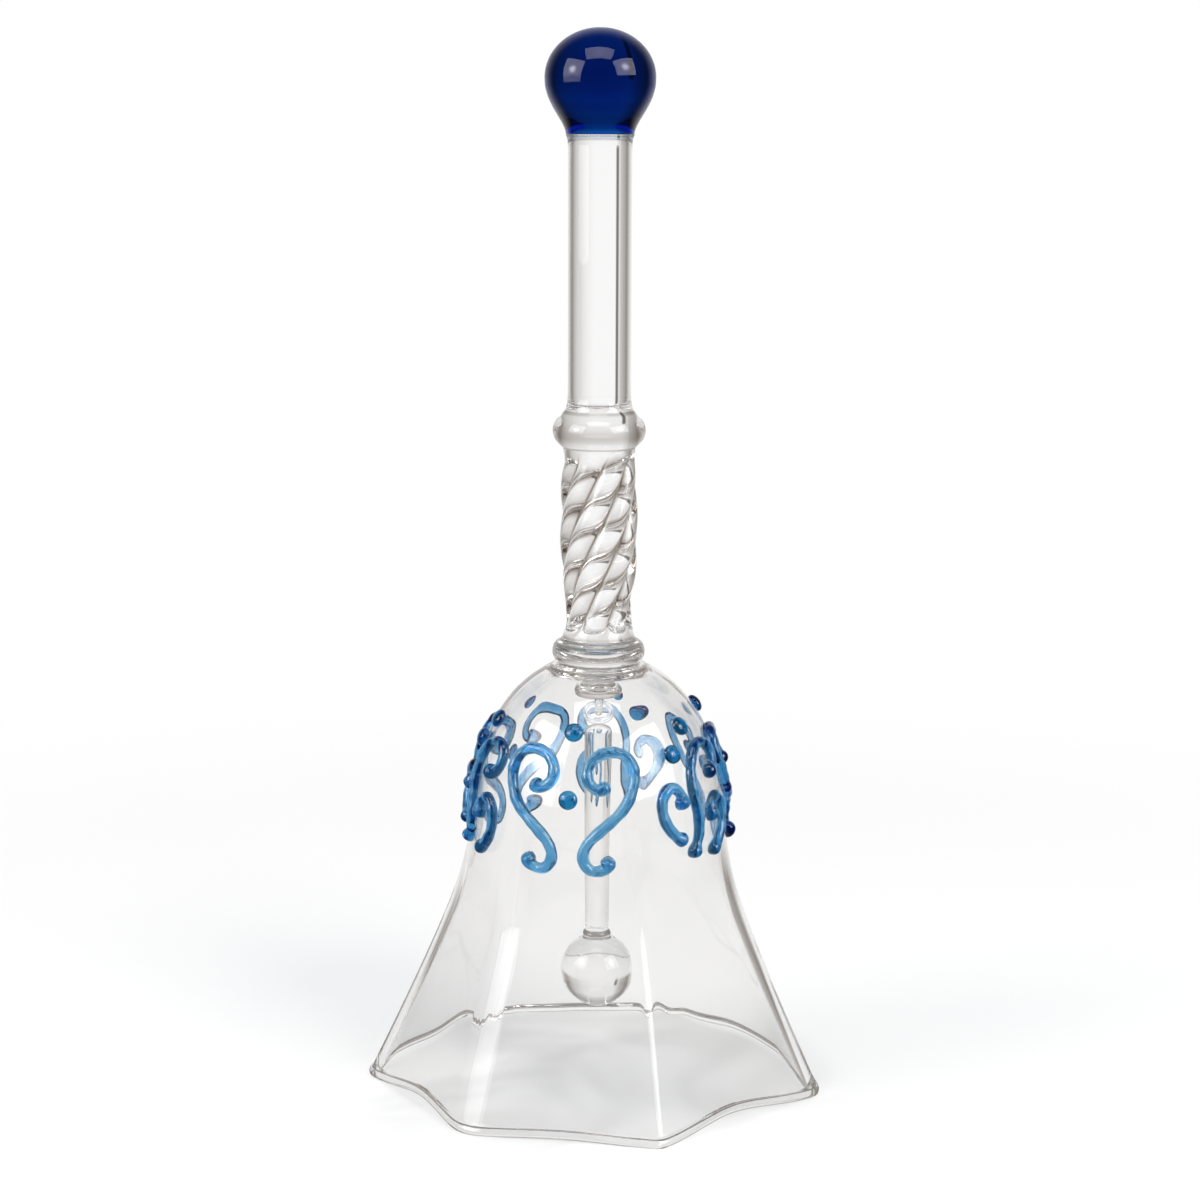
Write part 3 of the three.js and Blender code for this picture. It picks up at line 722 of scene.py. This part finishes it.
def glass(name, tint, absorb, density, shade=PALE_SHADE, waviness=0.0, scale=120.0, tint_and_shade_above=None,
          change=CROWN_CHANGE, painted_shade_and_weld_colour=None, painted_edge_shade=None, painted_trapped_glow=None):
    """Glass of a tint at its faces, which takes on the colour absorb with depth.

    Its shadow on the floor is a plain shade. tint_and_shade_above is the tint above a change of height,
    which on the cobalt knob is a painted shade over its upper part. painted_shade_and_weld_colour is the
    colour of the weld lines and of the shade painted in the grooves and knops, painted_edge_shade the
    shade painted on the outline above the clapper's collar, and painted_trapped_glow the grey that the
    glass gives off as painted light where light never gets out of the wall.
    """
    material = bpy.data.materials.new(name)
    n = Nodes(material, "ShaderNodeOutputMaterial")
    path = n.add("ShaderNodeLightPath")
    shader = n.add("ShaderNodeBsdfGlass", tint, Roughness=0.0, IOR=GLASS_IOR)
    surface = shader.outputs[0]
    # Painted light: past the last bounce the glass glows a plain grey in place of the light it would have
    # reached
    if painted_trapped_glow:
        last = above(n, path.outputs["Ray Depth"], LAST_BOUNCE)
        painted_grey_glow = n.out_of("ShaderNodeEmission", painted_trapped_glow)
        surface = n.out_of("ShaderNodeMixShader", last, surface, painted_grey_glow)
    light = added(n, path.outputs["Is Shadow Ray"], path.outputs["Is Diffuse Ray"])
    clear = n.out_of("ShaderNodeBsdfTransparent", shade)
    n.fill(n.out.inputs["Surface"], n.out_of("ShaderNodeMixShader", light, surface, clear))
    n.fill(n.out.inputs["Volume"], n.out_of("ShaderNodeVolumeAbsorption", absorb, density))
    colour = tint
    # A second tint above a height; on the cobalt knob it is a painted shade over the upper part
    if tint_and_shade_above:
        colour = tint_by_height(n, colour, tint_and_shade_above, *change)
    # Painted shade: the glass darkens by the body's groove attribute in the grooves and knops, and along
    # the weld lines
    if painted_shade_and_weld_colour:
        groove = n.add("ShaderNodeAttribute", attribute_name="groove")
        colour = mixed(n, groove.outputs["Fac"], colour, painted_shade_and_weld_colour)
    # Painted shade on the outline, where the face turns away from the view, above the clapper's collar
    if painted_edge_shade:
        edge = n.add("ShaderNodeLayerWeight", Blend=0.4)
        painted_edge_colour = tint_by_height(n, tint, painted_edge_shade, *COLLAR_CHANGE)
        colour = mixed(n, edge.outputs["Facing"], colour, painted_edge_colour)
    if colour is not tint:
        deep = above(n, path.outputs["Ray Depth"], DEEP_BOUNCE)
        n.fill(shader.inputs["Color"], mixed(n, deep, colour, WHITE))
    if waviness > 0:
        place = n.add("ShaderNodeTexCoord").outputs["Object"]
        noise = n.out_of("ShaderNodeTexNoise", Vector=place, Scale=scale, Detail=1.0)
        bump = n.out_of("ShaderNodeBump", Strength=waviness, Distance=BUMP_DEPTH, Height=noise)
        n.fill(shader.inputs["Normal"], bump)
    return material


# Clear glass, with weld lines and a painted shade in the grooves and knops
clear_glass = glass(
    "clear_glass", tint=(0.982, 0.981, 0.979), absorb=(0.6, 0.56, 0.5), density=3.0, waviness=0.05,
    tint_and_shade_above=(0.992, 0.992, 0.992), painted_shade_and_weld_colour=(0.36, 0.31, 0.27), painted_trapped_glow=(0.36, 0.33, 0.31),
)
# Clapper glass, with a painted shade on its outline above the collar
clapper_glass = glass(
    "clapper_glass", tint=(0.985, 0.985, 0.985), absorb=(0.6, 0.56, 0.5), density=3.0, waviness=0.03,
    painted_edge_shade=(0.72, 0.7, 0.67),
)
sky_glass = glass(
    "sky_glass", tint=(0.96, 0.98, 1.0), absorb=(0.02, 0.55, 0.785), density=1550.0,
    shade=(0.5, 0.75, 0.88), waviness=0.03, scale=300.0,
)
# Cobalt knob, its upper part darkened by a painted shade
cobalt_glass = glass(
    "cobalt_glass", tint=(0.97, 0.98, 1.0), absorb=(0.0, 0.585, 0.84), density=560.0,
    shade=(0.1, 0.2, 0.6), waviness=0.01, tint_and_shade_above=(0.66, 0.64, 0.69), change=KNOB_CHANGE,
)
dot_glass = glass(
    "dot_glass", tint=(0.97, 0.98, 1.0), absorb=(0.0, 0.63, 0.81), density=2500.0,
    shade=(0.2, 0.45, 0.75),
)


# Bodies and the solids that each piece stands for


def slotted(obj, nodes, body_name, material):
    """Gives a piece its glass and its body, and hides the solids it stands for."""
    obj.data.materials.append(material)
    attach(obj, body_name)
    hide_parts(*nodes)


slotted(
    body,
    ["handle_rod", "upper_knop", "twisted_stem", "lower_knop", "foot", "bell_shell", "hanger_post"],
    "bell",
    clear_glass,
)
slotted(hanger, ["hanger_loop"], "bell", clapper_glass)
slotted(knob, ["knob"], "bell", cobalt_glass)
slotted(eye, ["clapper_eye"], "clapper", clapper_glass)
slotted(
    clapper, ["clapper_rod", "clapper_collar", "clapper_ball"], "clapper", clapper_glass
)

# Six motifs round the shoulder, scrolls and sprigs by turns
for index, bearing in enumerate(MOTIF_BEARINGS):
    stem = f"motif_{index + 1}_"
    if index % 2 == 0:
        trails = [("scroll_right", SCROLL), ("scroll_left", mirrored(SCROLL))]
        dots = SCROLL_DOTS
    else:
        right_leaf = mirrored(LEAF, RIGHT_LEAF_SHIFT)
        trails = [("sprig", SPRIG), ("leaf_left", LEAF), ("leaf_right", right_leaf)]
        dots = SPRIG_DOTS
    for number, (word, drawing) in enumerate(trails):
        piece = trail(stem + word + "_glass", bearing, drawing, 1.7 * index + number)
        slotted(piece, [stem + word], "bell", sky_glass)
    for word, place in zip(("dot_low", "dot_high"), dots):
        piece = dot(stem + word + "_glass", bearing, place)
        slotted(piece, [stem + word], "bell", dot_glass)


# Stage in metres: a white floor with painted caustic light and shade inside the mouth, panels that only
# show in reflections, lamps that only light the floor, and a room whose colour changes with the bearing.
# Its strip is a narrow dark band on the left
BROWN_ROOM = (0.30, 0.275, 0.25)
DARK_ROOM = (0.03, 0.03, 0.03)
DARK_STRIP = (0.20, 0.18, 0.16)
DIM_ROOM = (0.42, 0.42, 0.42)
PALE_BACKDROP = (0.85, 0.85, 0.85)
BACKDROP_START, BACKDROP_END = 0.35, 0.95
STRIP_PERIOD = math.radians(90)
STRIP_TURN = 8.5
STRIP_TOP, STRIP_END = 0.02, 0.06
FLOOR_SIZE = 60
FLOOR_WHITE = (0.88, 0.88, 0.88)
FLOOR_EDGE_NEAR, FLOOR_EDGE_FAR = 0.09, 0.30
# Painted caustic light and shade on the floor inside the mouth: its darkest and lightest colour
PAINTED_CAUSTIC_DARK = (0.78, 0.78, 0.78)
PAINTED_CAUSTIC_LIGHT = (1.0, 1.0, 1.0)
CLOUD_SCALE = 26.0
CLOUD_LOW, CLOUD_HIGH = 0.35, 0.65
CLOUD_EDGE_NEAR, CLOUD_EDGE_FAR = 0.032, 0.044
PANEL_AIM = Vector((0, 0, 0.16))
PANEL_CORE_SHARE = 0.3
PANEL_DIM_LOW, PANEL_DIM_HIGH, PANEL_DIM = 0.10, 0.22, 0.45
LAMP_AIM = Vector((0, 0, 0.03))


def facing(place, direction, axis):
    """A transform that stands at a place and turns an axis of the thing in a direction."""
    turn = Vector(direction).to_track_quat(axis, "Y").to_matrix().to_4x4()
    return Matrix.Translation(Vector(place)) @ turn


def plane(name, width, depth, centre, direction):
    """A flat rectangle of the stage that faces a direction."""
    x, y = width / 2, depth / 2
    mesh = bpy.data.meshes.new(name)
    mesh.from_pydata([(-x, -y, 0), (x, -y, 0), (x, y, 0), (-x, y, 0)], [], [(0, 1, 2, 3)])
    obj = linked(bpy.data.objects.new(name, mesh))
    obj.matrix_world = facing(centre, direction, "Z")
    return obj


def softbox(name, azimuth, elevation, distance, width, height, rim, core):
    """A glowing panel that faces the knob, brighter in the middle, seen only in reflections."""
    azimuth, elevation = math.radians(azimuth), math.radians(elevation)
    level = math.cos(elevation)
    away = Vector((math.sin(azimuth) * level, math.cos(azimuth) * level, math.sin(elevation)))
    panel = plane(name, width, height, PANEL_AIM + away * distance, -away)
    panel.visible_camera = False
    panel.visible_diffuse = False
    panel.visible_shadow = False
    material = bpy.data.materials.new(name)
    n = Nodes(material, "ShaderNodeOutputMaterial")
    place = n.add("ShaderNodeTexCoord").outputs["Object"]
    length = n.add("ShaderNodeVectorMath", place, operation="LENGTH").outputs["Value"]
    spread = eased(n, length, 0.0, PANEL_CORE_SHARE * width, core, rim, curve="SMOOTHERSTEP")
    spot = n.add("ShaderNodeSeparateXYZ", n.add("ShaderNodeNewGeometry").outputs["Position"])
    fade = eased(n, spot.outputs["Z"], PANEL_DIM_LOW, PANEL_DIM_HIGH, start=PANEL_DIM)
    emission = n.out_of("ShaderNodeEmission", Strength=multiplied(n, spread, fade))
    n.fill(n.out.inputs["Surface"], emission)
    panel.data.materials.append(material)


softbox(
    "softbox_left", azimuth=-119, elevation=17.5, distance=0.63, width=0.5, height=0.52, rim=4.4, core=18.0
)
softbox(
    "softbox_right", azimuth=124, elevation=23.4, distance=1.31, width=1.07, height=0.92, rim=4.4,
    core=16.0,
)
softbox(
    "softbox_top", azimuth=184, elevation=63, distance=0.5, width=0.43, height=0.29, rim=3.4, core=4.5
)


def lamp(name, place, size, power):
    """A square lamp that lights the floor and doesn't show in the glass."""
    data = bpy.data.lights.new(name, "AREA")
    data.shape = "SQUARE"
    data.size = size
    data.energy = power
    obj = linked(bpy.data.objects.new(name, data))
    obj.matrix_world = facing(place, LAMP_AIM - Vector(place), "-Z")
    obj.visible_glossy = False
    obj.visible_transmission = False
    obj.visible_camera = False


lamp("lamp_left", (-0.8, -0.35, 0.6), size=0.45, power=4.2)
lamp("lamp_right", (0.58, -0.62, 0.66), size=0.45, power=6.4)
lamp("lamp_top", (0.0, 0.15, 1.1), size=0.8, power=3.5)


def ramp(n, value, stops):
    """A colour that follows a value from stop to stop."""
    node = n.add("ShaderNodeValToRGB", value)
    colours = node.color_ramp
    colours.interpolation = "EASE"
    for element, (position, colour) in zip(colours.elements, (stops[0], stops[-1])):
        element.position = position
        element.color = (*colour, 1)
    for position, colour in stops[1:-1]:
        colours.elements.new(position).color = (*colour, 1)
    return node.outputs[0]


def at(degrees):
    """Place on a ramp of a bearing measured from the middle of the backdrop."""
    return 0.5 + degrees / math.degrees(STRIP_PERIOD)


LEFT_OF_STRIP = [
    (0.0, BROWN_ROOM), (at(-42), BROWN_ROOM), (at(-37), (0.43, 0.41, 0.39)), (at(-30), (0.56, 0.54, 0.52)),
    (at(-25.5), (0.8, 0.79, 0.78)),
]
STRIP = [(at(-23.4), DARK_STRIP), (at(-21.2), DARK_STRIP)]
RIGHT_OF_STRIP = [
    (at(-19.2), WHITE), (at(-2), WHITE), (at(6), WHITE), (at(13), (0.94, 0.935, 0.93)),
    (at(20), (0.86, 0.85, 0.84)), (at(27), (0.76, 0.745, 0.73)), (at(33), (0.66, 0.645, 0.63)),
    (at(39), (0.5, 0.48, 0.46)), (1.0, BROWN_ROOM),
]
CEILING = [
    (0.0, WHITE), (0.25, WHITE), (0.42, (0.72, 0.71, 0.7)), (0.62, (0.5, 0.49, 0.48)),
    (0.8, (0.55, 0.54, 0.53)), (1.0, (0.6, 0.59, 0.58)),
]


def strips(n, place, stops):
    """Colour of the studio by bearing, the same in every quarter of the turn."""
    split = n.add("ShaderNodeSeparateXYZ", place)
    azimuth = n.out_of("ShaderNodeMath", split.outputs["X"], split.outputs["Y"], operation="ARCTAN2")
    quarters = n.out_of(
        "ShaderNodeMath", azimuth, 1 / STRIP_PERIOD, STRIP_TURN, operation="MULTIPLY_ADD"
    )
    return ramp(n, n.out_of("ShaderNodeMath", quarters, operation="FRACT"), stops)


def backdrop_glow(n, split):
    """What mirrors show: pale behind the bell, dark on the camera's side of it."""
    share = eased(n, split.outputs["Y"], BACKDROP_START, BACKDROP_END)
    return mixed(n, share, DARK_ROOM, PALE_BACKDROP)


def painted_caustics(n, place, distance):
    """Painted caustic light and shade: uneven floor colour inside the mouth in place of the light that the
    glass casts there.
    """
    noise = n.out_of("ShaderNodeTexNoise", Vector=place, Scale=CLOUD_SCALE, Detail=2.0, Distortion=1.2)
    cloud = mixed(n, eased(n, noise, CLOUD_LOW, CLOUD_HIGH, curve="LINEAR"), PAINTED_CAUSTIC_DARK, PAINTED_CAUSTIC_LIGHT)
    return mixed(n, eased(n, distance, CLOUD_EDGE_NEAR, CLOUD_EDGE_FAR), cloud, FLOOR_WHITE)


def floor_material():
    """White near the bell where its shadow falls, with painted caustic light and shade inside the mouth,
    melting into the white of the backdrop.
    """
    material = bpy.data.materials.new("floor")
    n = Nodes(material, "ShaderNodeOutputMaterial")
    path = n.add("ShaderNodeLightPath").outputs
    place = n.add("ShaderNodeNewGeometry").outputs["Position"]
    distance = n.add("ShaderNodeVectorMath", place, operation="LENGTH").outputs["Value"]
    diffuse = n.out_of("ShaderNodeBsdfDiffuse", painted_caustics(n, place, distance))
    direction = n.out_of("ShaderNodeVectorMath", place, operation="NORMALIZE")
    split = n.add("ShaderNodeSeparateXYZ", direction)
    strip_colour = strips(n, place, LEFT_OF_STRIP + STRIP + RIGHT_OF_STRIP)
    colour = mixed(n, path["Is Transmission Ray"], WHITE, strip_colour)
    colour = mixed(n, path["Is Reflection Ray"], colour, backdrop_glow(n, split))
    glow = n.out_of("ShaderNodeEmission", colour)
    seen = added(n, path["Is Camera Ray"], path["Is Transmission Ray"])
    seen = added(n, seen, path["Is Glossy Ray"])
    share = multiplied(n, eased(n, distance, FLOOR_EDGE_NEAR, FLOOR_EDGE_FAR), seen)
    share = added(n, share, path["Is Reflection Ray"])
    n.fill(n.out.inputs["Surface"], n.out_of("ShaderNodeMixShader", share, diffuse, glow))
    return material


floor = plane("floor", FLOOR_SIZE, FLOOR_SIZE, (0, 0, 0), (0, 0, 1))
floor.data.materials.append(floor_material())


def studio_world():
    """The room: white to the eye, strips and a dim ceiling through glass, dim in reflections."""
    world = bpy.data.worlds.new("studio")
    n = Nodes(world, "ShaderNodeOutputWorld")
    path = n.add("ShaderNodeLightPath").outputs
    place = n.add("ShaderNodeTexCoord").outputs["Generated"]
    split = n.add("ShaderNodeSeparateXYZ", place)
    near_horizon = strips(n, place, LEFT_OF_STRIP + STRIP + RIGHT_OF_STRIP)
    higher = strips(n, place, LEFT_OF_STRIP + RIGHT_OF_STRIP)
    climbed = eased(n, split.outputs["Z"], STRIP_TOP, STRIP_END, curve="LINEAR")
    colour = mixed(n, climbed, near_horizon, higher)
    ceiling = ramp(n, split.outputs["Z"], CEILING)
    colour = mixed(n, 1.0, colour, ceiling, blend_type="MULTIPLY")
    colour = mixed(n, path["Is Reflection Ray"], colour, backdrop_glow(n, split))
    colour = mixed(n, path["Is Diffuse Ray"], colour, DIM_ROOM)
    colour = mixed(n, path["Is Camera Ray"], colour, WHITE)
    n.fill(n.out.inputs["Surface"], n.out_of("ShaderNodeBackground", colour))
    return world


scene.world = studio_world()

# Camera, in metres and degrees
CAMERA_PLACE = (0.00022, -0.4022, 0.1523)
CAMERA_PITCH = 10.2
CAMERA_ROLL = 0.2
LENS_MM = 76.68
SENSOR_MM = 36
camera_data = bpy.data.cameras.new("camera")
camera_data.lens = LENS_MM
camera_data.sensor_width = SENSOR_MM
camera_data.clip_start = 0.01
camera = linked(bpy.data.objects.new("camera", camera_data))
camera.matrix_world = (
    Matrix.Translation(CAMERA_PLACE)
    @ Euler((math.radians(90 - CAMERA_PITCH), 0, 0)).to_matrix().to_4x4()
    @ Matrix.Rotation(math.radians(CAMERA_ROLL), 4, "Z")
)
scene.camera = camera

# Light crosses many faces of glass one behind another, so it may bounce often
MOST_BOUNCES = 48
scene.view_settings.view_transform = "Standard"
scene.cycles.max_bounces = MOST_BOUNCES
scene.cycles.transmission_bounces = MOST_BOUNCES
scene.cycles.glossy_bounces = MOST_BOUNCES
scene.cycles.transparent_max_bounces = 32
scene.cycles.caustics_refractive = False
scene.cycles.caustics_reflective = False
